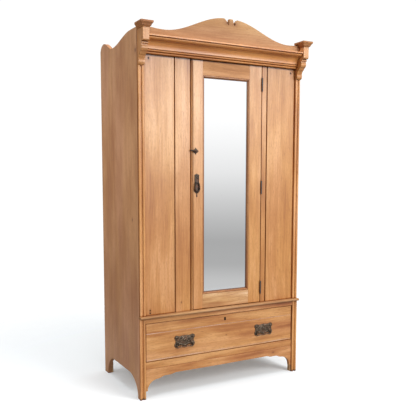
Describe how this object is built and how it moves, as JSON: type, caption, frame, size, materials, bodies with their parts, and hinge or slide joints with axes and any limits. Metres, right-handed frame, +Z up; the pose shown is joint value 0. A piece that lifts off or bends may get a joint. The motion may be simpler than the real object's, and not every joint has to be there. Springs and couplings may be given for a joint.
{
  "type": "wardrobe with mirror door",
  "caption": "Free-standing pine wardrobe with a bevelled mirror door between fixed boards, a long drawer below, and a shaped pediment.",
  "frame": {"origin": "middle of the footprint's bounding box, on the floor", "axes": "+Z up, -Y is the front with the door and drawer, +X to the right as seen from the front"},
  "size_m": [1.0498, 0.6384, 2.008],
  "materials": {
    "waxed_pine_front": "waxed satin",
    "waxed_pine_trim": "waxed satin",
    "plain_deal": "bare matt",
    "oxidised_brass": "dark aged satin",
    "aged_iron": "dull dark",
    "silvered_glass": "polished, bevelled"
  },
  "bodies": {
    "carcase": {"side_board_left": "waxed_pine_trim", "side_board_right": "waxed_pine_trim", "post_left": "waxed_pine_front", "post_right": "waxed_pine_front", "leg_left": "waxed_pine_front", "leg_right": "waxed_pine_front", "back_boards": "plain_deal", "back_battens": "plain_deal", "top_board": "plain_deal", "floor_board": "plain_deal", "waist_moulding": "waxed_pine_trim", "waist_rail": "waxed_pine_front", "drawer_rail": "waxed_pine_front", "apron": "waxed_pine_front", "front_panel_left": "waxed_pine_front", "front_stile_left": "waxed_pine_front", "front_stile_right": "waxed_pine_front", "front_panel_right": "waxed_pine_front", "frieze_rail": "waxed_pine_front", "cornice": "waxed_pine_trim", "pediment": "waxed_pine_front", "corbel_left": "waxed_pine_trim", "corbel_right": "waxed_pine_trim", "cap_left": "waxed_pine_trim", "cap_right": "waxed_pine_trim", "glue_blocks": "plain_deal", "stop_blocks": "plain_deal", "panel_screws": "aged_iron", "drawer_runners": "plain_deal", "drawer_guides": "plain_deal", "hanging_rail": "waxed_pine_trim", "rail_sockets": "waxed_pine_trim", "frame_hinge_leaves": "aged_iron", "lock_keeper": "aged_iron"},
    "door": {"door_stile_left": "waxed_pine_front", "door_stile_right": "waxed_pine_front", "door_rail_top": "waxed_pine_front", "door_rail_bottom": "waxed_pine_front", "sight_moulding": "waxed_pine_trim", "mirror_glass": "silvered_glass", "mirror_backboard": "plain_deal", "backboard_beads": "plain_deal", "door_hinge_leaves": "aged_iron", "hinge_pins": "aged_iron", "door_lock_case": "aged_iron", "door_pull_plate": "oxidised_brass", "catch_rose": "oxidised_brass"},
    "door_bolt": {"door_bolt": "aged_iron"},
    "drop_pull": {"drop_pull": "oxidised_brass"},
    "turn_catch": {"catch_lever": "oxidised_brass", "catch_cam": "oxidised_brass"},
    "drawer": {"drawer_front": "waxed_pine_front", "drawer_sides": "plain_deal", "drawer_back": "plain_deal", "drawer_bottom": "plain_deal", "drawer_lock_case": "aged_iron", "pull_plates": "oxidised_brass"},
    "drawer_bolt": {"drawer_bolt": "aged_iron"},
    "bail_left": {"bail_left": "oxidised_brass"},
    "bail_right": {"bail_right": "oxidised_brass"}
  },
  "joints": [
    {"name": "door_hinge", "type": "hinge", "parent": "carcase", "child": "door", "pos_m": [0.248, -0.2254, 1.114], "axis": [0, 0, 1], "range_deg": [0, 110]},
    {"name": "drawer_slide", "type": "slide", "parent": "carcase", "child": "drawer", "axis": [0, -1, 0], "range_m": [0, 0.33]},
    {"name": "bail_left_swing", "type": "hinge", "parent": "drawer", "child": "bail_left", "pos_m": [-0.245, -0.2338, 0.278], "axis": [-1, 0, 0], "range_deg": [0, 80]},
    {"name": "bail_right_swing", "type": "hinge", "parent": "drawer", "child": "bail_right", "pos_m": [0.272, -0.2338, 0.278], "axis": [-1, 0, 0], "range_deg": [0, 80]},
    {"name": "drop_pull_swing", "type": "hinge", "parent": "door", "child": "drop_pull", "pos_m": [-0.168, -0.2283, 1.142], "axis": [-1, 0, 0], "range_deg": [0, 80]},
    {"name": "catch_turn", "type": "hinge", "parent": "door", "child": "turn_catch", "pos_m": [-0.175, -0.2208, 1.311], "axis": [0, 1, 0], "range_deg": [0, 90]},
    {"name": "door_bolt_slide", "type": "slide", "parent": "door", "child": "door_bolt", "axis": [-1, 0, 0], "range_m": [0, 0.008]},
    {"name": "drawer_bolt_slide", "type": "slide", "parent": "drawer", "child": "drawer_bolt", "axis": [0, 0, 1], "range_m": [0, 0.008]}
  ]
}
